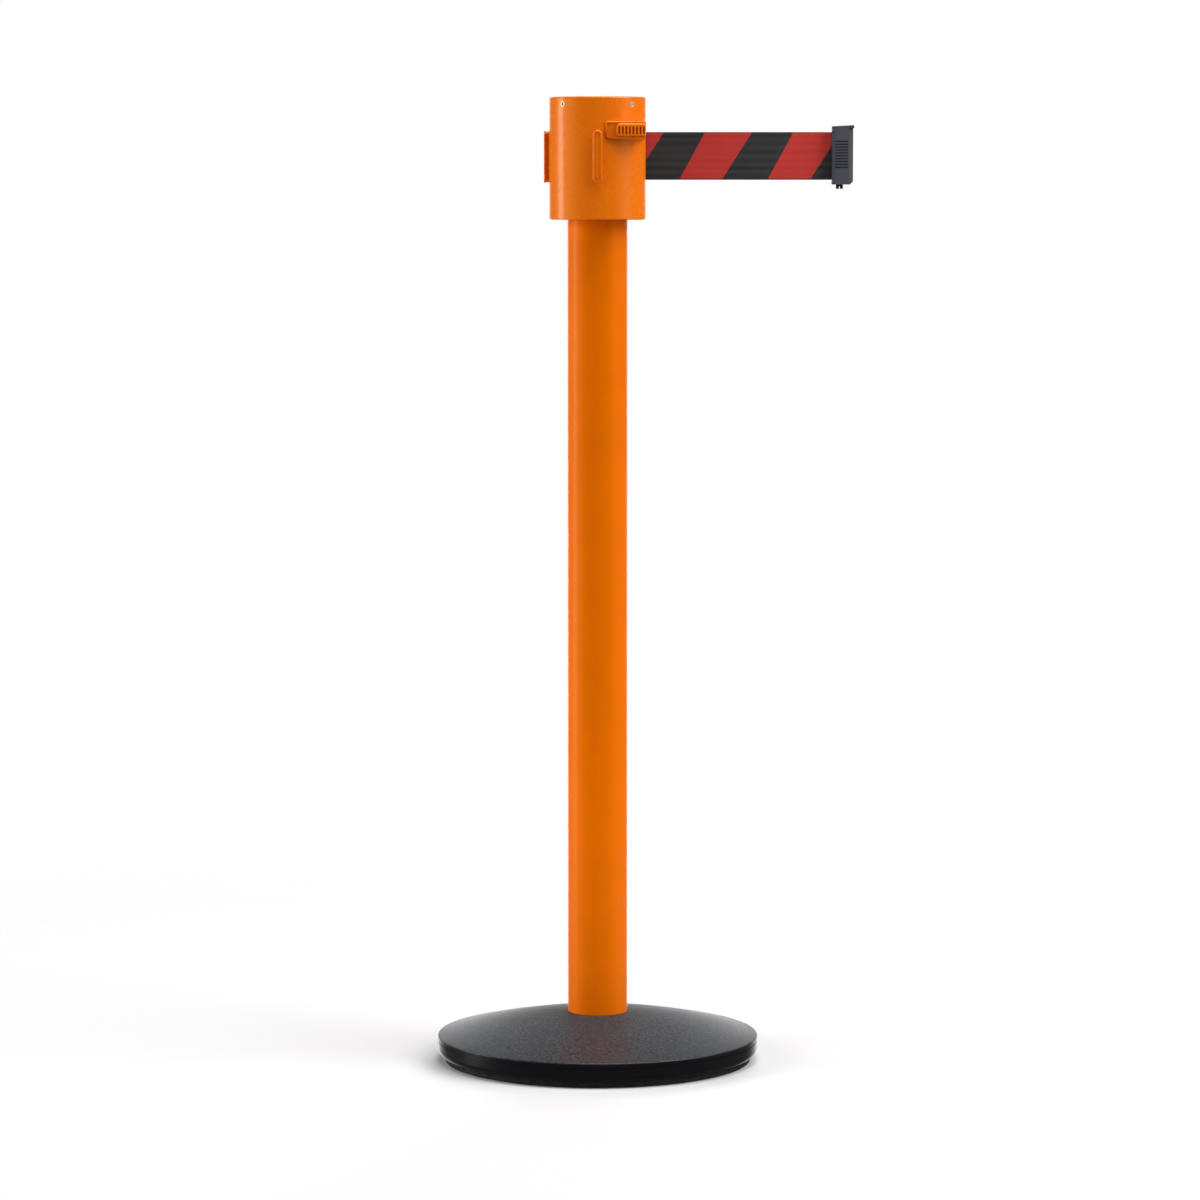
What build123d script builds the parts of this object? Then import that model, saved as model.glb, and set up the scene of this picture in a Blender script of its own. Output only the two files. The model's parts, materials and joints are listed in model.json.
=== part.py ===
"""Retractable-belt barrier post: a weighted round base, an orange tube and a belt cassette head.

The origin is on the floor, on the axis of the tube. +X is the way the belt is pulled out, -Y is the
side with the belt-lock slider, and +Z is up. All sizes are in millimetres.
"""

import os
from math import acos, atan2, cos, degrees, hypot, pi, radians, sin, sqrt

from build123d import *

os.makedirs("parts", exist_ok=True)

# ---------------------------------------------------------------- driving dimensions
TOTAL_HEIGHT = 1025.0

# base
BASE_RADIUS = 170.9
RIM_TOP = 26.9
DOME_TOP = 52.1
DOME_CROWN = 2.2  # how far the cover bulges above a straight cone
COVER_WALL = 3.0
WEIGHT_RADIUS = BASE_RADIUS - 10.8
RING_OUTER, RING_INNER, RING_HEIGHT = WEIGHT_RADIUS + 3.0, WEIGHT_RADIUS - 19.5, 6.0
POST_SEAT = 48.0  # height of the weight's boss, on which the tube stands

# tube
POST_RADIUS = 31.75
POST_WALL = 1.5
POST_BORE = POST_RADIUS - POST_WALL
FIT_GAP = 0.05  # radial play of parts that are pushed into each other

# head
HEAD_RADIUS = 51.5
HEAD_WALL = 3.0
HEAD_BORE = HEAD_RADIUS - HEAD_WALL
HEAD_BOTTOM = 895.6
CAP_SEAM = 1022.0
FLOOR_TOP = HEAD_BOTTOM + HEAD_WALL
OUTLET_FACE = HEAD_RADIUS - 1.0  # flat on the +X side where the belt comes out
OUTLET_FLAT = (918.0, 1000.7)

# belt
BELT_Z = 962.4  # middle of the webbing
BELT_WIDTH = 50.0
BELT_THICK = 1.0
BELT_LENGTH = 3400.0
BELT_SHOWN = 195.35  # webbing between the head and the clip at rest
BELT_OFF_ROLL = 250.0  # webbing between the roll and the belt pin at rest
BELT_LOW, BELT_HIGH = BELT_Z - BELT_WIDTH / 2, BELT_Z + BELT_WIDTH / 2

# receiver rails for the belt ends of other posts
RAIL_Z = 961.4
RAIL_LENGTH = 54.4
RAIL_NECK, RAIL_NECK_DEPTH = 6.0, 3.2
RAIL_NECK_LENGTH = RAIL_LENGTH - 1.0
RAIL_FLANGE, RAIL_FLANGE_THICK = 10.0, 1.8
RAIL_ANGLES = {"front": -90, "left": 180, "back": 90}

# belt-lock pod and slider
POD_X = (8.4, OUTLET_FACE)
POD_Z = (980.4, 998.0)
POD_FACE = -52.6
LOCK_TRAVEL = 9.0
SHOE_TRAVEL = 3.0

# clip on the end of the belt
CLIP_LEFT = OUTLET_FACE + BELT_SHOWN + 0.75
CLIP_X = (CLIP_LEFT, CLIP_LEFT + 22.2)
CLIP_Z = (932.4, 993.4)
CLIP_HALF = 8.0  # half of its thickness along Y
BUTTON_TRAVEL = 2.0
CATCH_TRAVEL = 1.8

# spool
SPOOL_HUB = 20.0
SPOOL_FLANGE = 39.8
SPINDLE_RADIUS = 5.0
ROLL_RADIUS = sqrt(SPOOL_HUB**2 + (BELT_LENGTH - BELT_OFF_ROLL) * BELT_THICK / pi)


# ---------------------------------------------------------------- helpers
def save(builder, label):
    """Labels a finished piece and writes it as one STEP file."""
    builder.part.label = label
    export_step(builder.part, f"parts/{label}.step")


def block(x, y, z, mode=Mode.ADD):
    """A box in the open builder, given as (low, high) along each axis."""
    centre = tuple((low + high) / 2 for low, high in (x, y, z))
    with Locations(centre):
        Box(x[1] - x[0], y[1] - y[0], z[1] - z[0], mode=mode)


def disc(radius, z, at=(0, 0), mode=Mode.ADD):
    """A vertical cylinder in the open builder, from z[0] to z[1]."""
    with Locations((at[0], at[1], (z[0] + z[1]) / 2)):
        Cylinder(radius, z[1] - z[0], mode=mode)


def turned(points):
    """A solid of revolution about Z, from (radius, height) corners."""
    with BuildPart() as body:
        with BuildSketch(Plane.XZ):
            with BuildLine():
                Polyline(*points, close=True)
            make_face()
        revolve(axis=Axis.Z)
    return body.part


def radial_plane(angle, z):
    """A plane through the axis point at height z, facing outwards at that angle, its own Y upwards."""
    outwards = (cos(radians(angle)), sin(radians(angle)), 0)
    return Plane(origin=(0, 0, z), x_dir=(-outwards[1], outwards[0], 0), z_dir=outwards)


def around(radius, angle):
    """A point on a circle about the axis."""
    return radius * cos(radians(angle)), radius * sin(radians(angle))


# ================================================================ base
# Dome cover: a moulded shell with a shallow crowned top and an upright rim that tucks in at its foot.
COVER_HOLE = POST_RADIUS + 0.35
MID_RADIUS = 100.0
mid_share = (BASE_RADIUS - MID_RADIUS) / (BASE_RADIUS - COVER_HOLE)
MID_HEIGHT = RIM_TOP + (DOME_TOP - RIM_TOP) * mid_share + DOME_CROWN
RIM_STRAIGHT = 13.0  # the rim is upright above this height
RIM_FOOT = RING_HEIGHT + 0.3
RIM_TUCK = 6.0  # how far the rim curves inwards down to its foot
RIM_LINE = RIM_TOP - 5.0  # height of the shallow groove round the rim

with BuildPart() as base_cover:
    with BuildSketch(Plane.XZ):
        with BuildLine():
            ThreePointArc((COVER_HOLE, DOME_TOP), (MID_RADIUS, MID_HEIGHT), (BASE_RADIUS, RIM_TOP))
            Line((BASE_RADIUS, RIM_TOP), (BASE_RADIUS, RIM_STRAIGHT))
            ThreePointArc(
                (BASE_RADIUS, RIM_STRAIGHT),
                (BASE_RADIUS - 1.7, RIM_FOOT + 2.6),
                (BASE_RADIUS - RIM_TUCK, RIM_FOOT),
            )
            Line((BASE_RADIUS - RIM_TUCK, RIM_FOOT), (BASE_RADIUS - RIM_TUCK - 1.3, RIM_FOOT))
            Line((BASE_RADIUS - RIM_TUCK - 1.3, RIM_FOOT), (BASE_RADIUS - COVER_WALL, RIM_STRAIGHT))
            Line((BASE_RADIUS - COVER_WALL, RIM_STRAIGHT), (BASE_RADIUS - COVER_WALL, RIM_TOP - COVER_WALL))
            ThreePointArc(
                (BASE_RADIUS - COVER_WALL, RIM_TOP - COVER_WALL),
                (MID_RADIUS, MID_HEIGHT - COVER_WALL),
                (COVER_HOLE, DOME_TOP - COVER_WALL),
            )
            Line((COVER_HOLE, DOME_TOP - COVER_WALL), (COVER_HOLE, DOME_TOP))
        make_face()
    revolve(axis=Axis.Z)
    circles = base_cover.edges().filter_by(GeomType.CIRCLE)
    fillet(circles.filter_by_position(Axis.Z, RIM_TOP - 0.1, RIM_TOP + 0.1), 1.5)
    with BuildSketch(Plane.XY.offset(RIM_LINE)):
        Circle(BASE_RADIUS + 1)
        Circle(BASE_RADIUS - 0.6, mode=Mode.SUBTRACT)
    extrude(amount=-0.8, mode=Mode.SUBTRACT)
save(base_cover, "base_cover")

# Cast weight: a plate with a central boss, and a pocket underneath for the bolt head.
PLATE_TOP = 21.0
POCKET_RADIUS, POCKET_TOP = 25.0, 22.0
BOLT_CLEARANCE = 6.5
BOSS_SPIGOT = 31.9
with BuildPart() as base_weight:
    profile = [
        (BOLT_CLEARANCE, POCKET_TOP),
        (POCKET_RADIUS, POCKET_TOP),
        (POCKET_RADIUS, RING_HEIGHT),
        (WEIGHT_RADIUS, RING_HEIGHT),
        (WEIGHT_RADIUS, PLATE_TOP - 2),
        (WEIGHT_RADIUS - 2, PLATE_TOP),
        (44.0, 26.0),
        (38.0, 45.5),
        (BOSS_SPIGOT, 45.5),
        (BOSS_SPIGOT, POST_SEAT),
        (BOLT_CLEARANCE, POST_SEAT),
    ]
    add(turned(profile))
save(base_weight, "base_weight")

# Rubber ring under the edge of the weight, with a lip that locates it and a grooved sole.
LIP_TOP = RING_HEIGHT + 1.6
with BuildPart() as floor_ring:
    profile = [
        (RING_INNER, 0),
        (RING_OUTER, 0),
        (RING_OUTER, LIP_TOP - 0.6),
        (RING_OUTER - 0.6, LIP_TOP),
        (WEIGHT_RADIUS + 0.4, LIP_TOP),
        (WEIGHT_RADIUS + 0.4, RING_HEIGHT),
        (RING_INNER, RING_HEIGHT),
    ]
    add(turned(profile))
    for groove_radius in (RING_INNER + 7, RING_INNER + 14):
        with BuildSketch(Plane.XY):
            Circle(groove_radius + 1.0)
            Circle(groove_radius - 1.0, mode=Mode.SUBTRACT)
        extrude(amount=1.5, mode=Mode.SUBTRACT)
save(floor_ring, "floor_ring")

# Bolt, spring washer and wide washer that pull the tube's plug down on to the weight.
WASHER = (POCKET_TOP - 2.5, POCKET_TOP)
SPRING_WASHER = (WASHER[0] - 2.5, WASHER[0])
BOLT_HEAD = (SPRING_WASHER[0] - 7.5, SPRING_WASHER[0])
BOLT_END = 84.0
BOLT_RADIUS = 5.95
with BuildPart() as base_washer:
    disc(18.5, WASHER)
    disc(BOLT_CLEARANCE, WASHER, mode=Mode.SUBTRACT)
save(base_washer, "base_washer")

with BuildPart() as spring_washer:
    disc(10.5, SPRING_WASHER)
    disc(6.3, SPRING_WASHER, mode=Mode.SUBTRACT)
    block((5.0, 12.0), (-0.6, 0.6), SPRING_WASHER, mode=Mode.SUBTRACT)
save(spring_washer, "spring_washer")

with BuildPart() as base_bolt:
    with BuildSketch(Plane.XY.offset(BOLT_HEAD[0])):
        RegularPolygon(9.0, 6, major_radius=False)
    extrude(amount=BOLT_HEAD[1] - BOLT_HEAD[0])
    disc(BOLT_RADIUS, (BOLT_HEAD[1], BOLT_END))
    chamfer(base_bolt.faces().sort_by(Axis.Z)[-1].edges(), 1.0)
save(base_bolt, "base_bolt")

# Die-cast plug in the foot of the tube: two bands joined by a waist, tapped for the bolt.
PLUG_TOP = 88.0
PLUG_RADIUS = POST_BORE - FIT_GAP
with BuildPart() as bottom_plug:
    profile = [
        (BOLT_RADIUS + FIT_GAP, POST_SEAT),
        (PLUG_RADIUS, POST_SEAT),
        (PLUG_RADIUS, POST_SEAT + 9),
        (14.0, POST_SEAT + 14),
        (14.0, PLUG_TOP - 14),
        (PLUG_RADIUS, PLUG_TOP - 9),
        (PLUG_RADIUS, PLUG_TOP),
        (BOLT_RADIUS + FIT_GAP, PLUG_TOP),
    ]
    add(turned(profile))
save(bottom_plug, "bottom_plug")

# ================================================================ tube
with BuildPart() as post_tube:
    disc(POST_RADIUS, (POST_SEAT, FLOOR_TOP))
    disc(POST_BORE, (POST_SEAT, FLOOR_TOP), mode=Mode.SUBTRACT)
save(post_tube, "post_tube")

# ================================================================ head adapter and its expander
ADAPTER_FLANGE = (FLOOR_TOP + 0.2, FLOOR_TOP + 7.2)
SPIGOT_FOOT = 851.0
SPIGOT_WEB = 881.0
CONE_MOUTH, CONE_THROAT = 24.0, 20.0
CONE_TOP = 871.0
FLOOR_SCREW_RADIUS = 40.5
FLOOR_SCREW_ANGLES = [45, 135, 225, 315]
FOOT_SCREW_RADIUS = 34.0  # screws that hold the cassette on the adapter
FOOT_SCREW_ANGLES = [0, 120, 240]
with BuildPart() as head_adapter:
    profile = [
        (4.2, ADAPTER_FLANGE[1] - 6.2),
        (7.2, ADAPTER_FLANGE[1] - 6.2),
        (7.2, ADAPTER_FLANGE[1]),
        (48.3, ADAPTER_FLANGE[1]),
        (48.3, ADAPTER_FLANGE[0]),
        (POST_BORE - FIT_GAP, ADAPTER_FLANGE[0]),
        (POST_BORE - FIT_GAP, SPIGOT_FOOT),
        (CONE_MOUTH, SPIGOT_FOOT),
        (CONE_THROAT, CONE_TOP),
        (CONE_THROAT, SPIGOT_WEB),
        (4.2, SPIGOT_WEB),
    ]
    add(turned(profile))
    for slit_angle in (0, 90):
        with Locations((0, 0, (SPIGOT_FOOT + SPIGOT_WEB) / 2)):
            Box(70, 3, SPIGOT_WEB - SPIGOT_FOOT, rotation=(0, 0, slit_angle), mode=Mode.SUBTRACT)
    for screw_angle in FLOOR_SCREW_ANGLES:
        disc(1.95, ADAPTER_FLANGE, around(FLOOR_SCREW_RADIUS, screw_angle), Mode.SUBTRACT)
    for screw_angle in FOOT_SCREW_ANGLES:
        disc(1.95, ADAPTER_FLANGE, around(FOOT_SCREW_RADIUS, screw_angle), Mode.SUBTRACT)
save(head_adapter, "head_adapter")

cone_slope = (CONE_MOUTH - CONE_THROAT) / (CONE_TOP - SPIGOT_FOOT)
with BuildPart() as expander_cone:
    profile = [
        (4.0, SPIGOT_FOOT),
        (CONE_MOUTH - 0.1, SPIGOT_FOOT),
        (CONE_MOUTH - 0.1 - 18.0 * cone_slope, SPIGOT_FOOT + 18.0),
        (4.0, SPIGOT_FOOT + 18.0),
    ]
    add(turned(profile))
save(expander_cone, "expander_cone")

with BuildPart() as expander_bolt:
    disc(3.95, (SPIGOT_FOOT, ADAPTER_FLANGE[1] - 6.2))
    disc(6.5, (ADAPTER_FLANGE[1] - 6.2, ADAPTER_FLANGE[1] - 0.2))
    with BuildSketch(Plane.XY.offset(ADAPTER_FLANGE[1] - 0.2)):
        RegularPolygon(3.0, 6, major_radius=False)
    extrude(amount=-3.5, mode=Mode.SUBTRACT)
save(expander_bolt, "expander_bolt")

# ================================================================ head housing
CAP_SCREW_Z = 1015.9
CAP_SCREW_ANGLES = [45, 135, 225, 315]
SCREW_HEAD_RADIUS = 2.8
OUTLET_HALF_Y, OUTLET_HALF_Z = 9.4, 33.0
RAIL_POCKET = HEAD_RADIUS - 1.45  # radius of the flat floor of each rail's pocket
RAIL_SCREW_OFFSETS = [-14.0, 14.0]
STEM_X, STEM_Z = (33.0, 42.0), (990.0, 995.2)
POCKET_X, POCKET_Z, POCKET_FLOOR = (10.2, OUTLET_FACE), (981.8, 996.4), POD_FACE + 1.0

with BuildPart() as head_housing:
    disc(HEAD_RADIUS, (HEAD_BOTTOM, CAP_SEAM))
    foot_edge = head_housing.edges().filter_by(GeomType.CIRCLE).sort_by(Axis.Z)[0]
    fillet(foot_edge, 1.2)
    with BuildSketch(Plane.XZ.offset(-POD_FACE)) as pod_outline:
        with BuildLine():
            Polyline(
                (POD_X[0], POD_Z[1]),
                (POD_X[1], POD_Z[1]),
                (POD_X[1], POD_Z[0] + 0.8),
                (POD_X[1] - 5.6, POD_Z[0] - 1.8),
                (POD_X[0], POD_Z[0]),
                close=True,
            )
        make_face()
        fillet(pod_outline.vertices().group_by(Axis.X)[0], 2.0)
    extrude(amount=POD_FACE + 10)
    pod_rim = head_housing.edges().filter_by_position(Axis.Y, POD_FACE - 0.01, POD_FACE + 0.01)
    fillet(pod_rim, 1.2)
    disc(HEAD_BORE, (FLOOR_TOP, CAP_SEAM), mode=Mode.SUBTRACT)
    disc(POST_RADIUS + 0.3, (HEAD_BOTTOM, FLOOR_TOP), mode=Mode.SUBTRACT)
    # flat for the belt outlet, and the opening that holds the outlet frame
    block((OUTLET_FACE, HEAD_RADIUS + 5), (-15, 15), OUTLET_FLAT, Mode.SUBTRACT)
    block(
        (40, HEAD_RADIUS + 5),
        (-OUTLET_HALF_Y - 0.1, OUTLET_HALF_Y + 0.1),
        (BELT_Z - OUTLET_HALF_Z - 0.1, BELT_Z + OUTLET_HALF_Z + 0.1),
        Mode.SUBTRACT,
    )
    # recess for the thumb pad, slot for its stem, and the space behind for the tongue
    block(POCKET_X, (POD_FACE, POCKET_FLOOR), POCKET_Z, Mode.SUBTRACT)
    block(
        (STEM_X[0] - LOCK_TRAVEL - 0.3, STEM_X[1] + 0.3),
        (POD_FACE, -49.0),
        (STEM_Z[0] - 0.2, STEM_Z[1] + 0.2),
        Mode.SUBTRACT,
    )
    block((10.6, 48.8), (-50.6, -35.0), (984.0, 996.0), Mode.SUBTRACT)
    # floor screws, countersunk from below
    for screw_angle in FLOOR_SCREW_ANGLES:
        disc(2.1, (HEAD_BOTTOM, FLOOR_TOP), around(FLOOR_SCREW_RADIUS, screw_angle), Mode.SUBTRACT)
        with Locations((*around(FLOOR_SCREW_RADIUS, screw_angle), HEAD_BOTTOM + 1.05)):
            Cone(4.1, 2.0, 2.1, mode=Mode.SUBTRACT)
    # cap screws, countersunk from outside
    for screw_angle in CAP_SCREW_ANGLES:
        with BuildSketch(radial_plane(screw_angle, CAP_SCREW_Z).offset(HEAD_BORE - 3)):
            Circle(1.7)
        extrude(amount=8, mode=Mode.SUBTRACT)
        with BuildSketch(radial_plane(screw_angle, CAP_SCREW_Z).offset(HEAD_RADIUS - 1.6)):
            Circle(1.7)
        with BuildSketch(radial_plane(screw_angle, CAP_SCREW_Z).offset(HEAD_RADIUS + 0.2)):
            Circle(SCREW_HEAD_RADIUS + 0.35)
        loft(mode=Mode.SUBTRACT)
    # pocket and two screw holes behind each receiver rail
    for rail_angle in RAIL_ANGLES.values():
        with BuildSketch(radial_plane(rail_angle, RAIL_Z).offset(RAIL_POCKET)):
            SlotOverall(RAIL_NECK_LENGTH + 0.2, RAIL_NECK + 0.2, rotation=90)
        extrude(amount=5, mode=Mode.SUBTRACT)
        with BuildSketch(radial_plane(rail_angle, RAIL_Z).offset(HEAD_BORE - 2)):
            with Locations(*[(0, offset) for offset in RAIL_SCREW_OFFSETS]):
                Circle(1.4)
        extrude(amount=5, mode=Mode.SUBTRACT)
save(head_housing, "head_housing")


# Receiver rails: T-section rails with rounded ends. A belt end slides down over the flange.
def receiver_rail(angle, label):
    neck_top = HEAD_RADIUS + RAIL_NECK_DEPTH
    rail_top = neck_top + RAIL_FLANGE_THICK
    with BuildPart() as rail:
        with BuildSketch(radial_plane(angle, RAIL_Z).offset(RAIL_POCKET + 0.05)):
            SlotOverall(RAIL_NECK_LENGTH, RAIL_NECK, rotation=90)
        extrude(amount=neck_top - RAIL_POCKET - 0.05)
        with BuildSketch(radial_plane(angle, RAIL_Z).offset(neck_top)):
            SlotOverall(RAIL_LENGTH, RAIL_FLANGE, rotation=90)
        extrude(amount=RAIL_FLANGE_THICK)
        outwards = Axis(origin=(0, 0, RAIL_Z), direction=radial_plane(angle, 0).z_dir)
        chamfer(rail.faces().sort_by(outwards)[-1].edges(), 0.5)
        with BuildSketch(radial_plane(angle, RAIL_Z).offset(rail_top)):
            SlotOverall(RAIL_LENGTH - 4.2, RAIL_FLANGE - 4.2, rotation=90)
        extrude(amount=-0.6, mode=Mode.SUBTRACT)
        with BuildSketch(radial_plane(angle, RAIL_Z).offset(rail_top - 0.6)):
            with Locations((0, -RAIL_LENGTH / 2 + 5.6)):
                Circle(2.1)
        extrude(amount=0.5)
        with BuildSketch(radial_plane(angle, RAIL_Z).offset(RAIL_POCKET)):
            with Locations(*[(0, offset) for offset in RAIL_SCREW_OFFSETS]):
                Circle(1.25)
        extrude(amount=4.5, mode=Mode.SUBTRACT)
    save(rail, label)


for rail_name, rail_angle in RAIL_ANGLES.items():
    receiver_rail(rail_angle, f"receiver_rail_{rail_name}")

# Screws that hold the rails, from inside the wall.
with BuildPart() as rail_screws:
    for rail_angle in RAIL_ANGLES.values():
        for part_radius, start, length in ((2.6, HEAD_BORE - 2.0, 1.8), (1.2, HEAD_BORE - 0.2, 5.4)):
            with BuildSketch(radial_plane(rail_angle, RAIL_Z).offset(start)):
                with Locations(*[(0, offset) for offset in RAIL_SCREW_OFFSETS]):
                    Circle(part_radius)
            extrude(amount=length)
save(rail_screws, "rail_screws")

# Countersunk screws through the housing floor into the adapter flange.
with BuildPart() as floor_screws:
    for screw_angle in FLOOR_SCREW_ANGLES:
        at = around(FLOOR_SCREW_RADIUS, screw_angle)
        with Locations((*at, HEAD_BOTTOM + 1.15)):
            Cone(3.8, 1.85, 1.9)
        disc(1.85, (HEAD_BOTTOM + 2.1, ADAPTER_FLANGE[0] + 6), at)
        with Locations((*at, HEAD_BOTTOM + 0.7)):
            Box(4.2, 0.9, 1.0, mode=Mode.SUBTRACT)
            Box(0.9, 4.2, 1.0, mode=Mode.SUBTRACT)
save(floor_screws, "floor_screws")

# Cap: a gently crowned lid with a skirt inside the housing.
SKIRT_OUTER, SKIRT_INNER, SKIRT_FOOT = HEAD_BORE - 0.2, HEAD_BORE - 3.4, 1011.0
with BuildPart() as top_cap:
    with BuildSketch(Plane.XZ):
        with BuildLine():
            Line((0, CAP_SEAM), (0, TOTAL_HEIGHT))
            ThreePointArc((0, TOTAL_HEIGHT), (26.0, TOTAL_HEIGHT - 0.35), (HEAD_RADIUS - 1.8, CAP_SEAM + 1.9))
            ThreePointArc(
                (HEAD_RADIUS - 1.8, CAP_SEAM + 1.9),
                (HEAD_RADIUS - 0.5, CAP_SEAM + 1.3),
                (HEAD_RADIUS, CAP_SEAM + 0.1),
            )
            Polyline(
                (HEAD_RADIUS, CAP_SEAM + 0.1),
                (SKIRT_OUTER, CAP_SEAM + 0.1),
                (SKIRT_OUTER, SKIRT_FOOT),
                (SKIRT_INNER, SKIRT_FOOT),
                (SKIRT_INNER, CAP_SEAM),
                (0, CAP_SEAM),
            )
        make_face()
    revolve(axis=Axis.Z)
    for screw_angle in CAP_SCREW_ANGLES:
        with BuildSketch(radial_plane(screw_angle, CAP_SCREW_Z).offset(SKIRT_INNER - 4)):
            Circle(3.2)
        extrude(amount=5.5)
    for screw_angle in CAP_SCREW_ANGLES:
        with BuildSketch(radial_plane(screw_angle, CAP_SCREW_Z).offset(SKIRT_INNER - 5)):
            Circle(1.45)
        extrude(amount=12, mode=Mode.SUBTRACT)
save(top_cap, "top_cap")

with BuildPart() as cap_screws:
    for screw_angle in CAP_SCREW_ANGLES:
        with BuildSketch(radial_plane(screw_angle, CAP_SCREW_Z).offset(HEAD_RADIUS - 10)):
            Circle(1.4)
        extrude(amount=9.0)
        with BuildSketch(radial_plane(screw_angle, CAP_SCREW_Z).offset(HEAD_RADIUS - 1.5)):
            Circle(1.4)
        with BuildSketch(radial_plane(screw_angle, CAP_SCREW_Z).offset(HEAD_RADIUS - 0.1)):
            Circle(SCREW_HEAD_RADIUS)
        loft()
        with BuildSketch(radial_plane(screw_angle, CAP_SCREW_Z).offset(HEAD_RADIUS - 0.1)):
            Rectangle(3.6, 1.1)
            Rectangle(1.1, 3.6)
        extrude(amount=-1.6, mode=Mode.SUBTRACT)
save(cap_screws, "cap_screws")

# ================================================================ belt outlet and guide rollers
ROLLER_RADIUS, ROLLER_BORE, PIN_RADIUS = 3.0, 1.3, 1.25
ROLLER_X = 45.0
ROLLER_Y = ROLLER_RADIUS + BELT_THICK / 2 + 0.05
ROLLER_HALF = 27.0
FRAME_BACK = 40.8
with BuildPart() as belt_outlet:
    block(
        (FRAME_BACK, OUTLET_FACE),
        (-OUTLET_HALF_Y, OUTLET_HALF_Y),
        (BELT_Z - OUTLET_HALF_Z, BELT_Z + OUTLET_HALF_Z),
    )
    mouth_edges = belt_outlet.faces().sort_by(Axis.X)[-1].edges()
    chamfer(mouth_edges, 0.4)
    block(
        (FRAME_BACK - 1, OUTLET_FACE - 2.5),
        (-7.2, 7.2),
        (BELT_Z - ROLLER_HALF - 0.3, BELT_Z + ROLLER_HALF + 0.3),
        Mode.SUBTRACT,
    )
    block((FRAME_BACK, OUTLET_FACE + 1), (-1.5, 1.5), (BELT_Z - 25.8, BELT_Z + 25.8), Mode.SUBTRACT)
    for side in (-1, 1):
        disc(PIN_RADIUS + 0.02, (BELT_Z - 31.2, BELT_Z + 31.2), (ROLLER_X, side * ROLLER_Y), Mode.SUBTRACT)
save(belt_outlet, "belt_outlet")

with BuildPart() as guide_pins:
    for side in (-1, 1):
        disc(PIN_RADIUS, (BELT_Z - 31.0, BELT_Z + 31.0), (ROLLER_X, side * ROLLER_Y))
save(guide_pins, "guide_pins")


def guide_roller(side, label):
    """A thin roller beside the belt, waisted so that it only bears near its ends and middle."""
    at = (ROLLER_X, side * ROLLER_Y)
    with BuildPart() as roller:
        disc(ROLLER_RADIUS, (BELT_Z - ROLLER_HALF, BELT_Z + ROLLER_HALF), at)
        for low in (-22.0, 4.0):
            with BuildSketch(Plane.XY.offset(BELT_Z + low)):
                with Locations(at):
                    Circle(ROLLER_RADIUS + 1)
                    Circle(ROLLER_RADIUS - 0.4, mode=Mode.SUBTRACT)
            extrude(amount=18.0, mode=Mode.SUBTRACT)
        disc(ROLLER_BORE, (BELT_Z - ROLLER_HALF, BELT_Z + ROLLER_HALF), at, Mode.SUBTRACT)
    save(roller, label)


guide_roller(-1, "guide_roller_front")
guide_roller(1, "guide_roller_rear")

# ================================================================ cassette frame
BASE_PLATE = (906.0, 908.0)
TOP_PLATE = (997.0, 999.0)
PLATE_RADIUS = 47.5
PILLAR_RADIUS, PILLAR_CIRCLE = 3.0, 43.8
PILLAR_ANGLES = [60, 135, 225, -22]
BRACKET_RIVETS = [(22.0, -31.0), (30.0, -31.0)]
with BuildPart() as cassette_base_plate:
    disc(PLATE_RADIUS, BASE_PLATE)
    disc(4.1, BASE_PLATE, mode=Mode.SUBTRACT)
    for plate_angle in PILLAR_ANGLES:
        disc(1.7, BASE_PLATE, around(PILLAR_CIRCLE, plate_angle), Mode.SUBTRACT)
    for screw_angle in FOOT_SCREW_ANGLES:
        disc(2.2, BASE_PLATE, around(FOOT_SCREW_RADIUS, screw_angle), Mode.SUBTRACT)
save(cassette_base_plate, "cassette_base_plate")

with BuildPart() as cassette_top_plate:
    disc(PLATE_RADIUS, TOP_PLATE)
    disc(4.1, TOP_PLATE, mode=Mode.SUBTRACT)
    for plate_angle in PILLAR_ANGLES:
        disc(1.7, TOP_PLATE, around(PILLAR_CIRCLE, plate_angle), Mode.SUBTRACT)
    for window_angle in (90, 180, 270):
        with BuildSketch(Plane.XY.offset(TOP_PLATE[0])):
            with PolarLocations(24.0, 1, start_angle=window_angle):
                SlotOverall(20.0, 10.0, rotation=90)
        extrude(amount=2.0, mode=Mode.SUBTRACT)
    for rivet_at in BRACKET_RIVETS:
        disc(1.3, TOP_PLATE, rivet_at, Mode.SUBTRACT)
save(cassette_top_plate, "cassette_top_plate")

with BuildPart() as cassette_pillars:
    for plate_angle in PILLAR_ANGLES:
        disc(PILLAR_RADIUS, (BASE_PLATE[1], TOP_PLATE[0]), around(PILLAR_CIRCLE, plate_angle))
        for tapped in ((BASE_PLATE[1], BASE_PLATE[1] + 8), (TOP_PLATE[0] - 8, TOP_PLATE[0])):
            disc(1.55, tapped, around(PILLAR_CIRCLE, plate_angle), Mode.SUBTRACT)
save(cassette_pillars, "cassette_pillars")

with BuildPart() as cassette_screws:
    for plate_angle in PILLAR_ANGLES:
        at = around(PILLAR_CIRCLE, plate_angle)
        disc(2.8, (TOP_PLATE[1], TOP_PLATE[1] + 1.9), at)
        disc(1.5, (TOP_PLATE[0] - 7, TOP_PLATE[1]), at)
    for screw_angle in FOOT_SCREW_ANGLES:
        at = around(FOOT_SCREW_RADIUS, screw_angle)
        disc(3.5, (BASE_PLATE[1], BASE_PLATE[1] + 2.4), at)
        disc(1.9, (ADAPTER_FLANGE[0] + 1, BASE_PLATE[1]), at)
save(cassette_screws, "cassette_screws")

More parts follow.
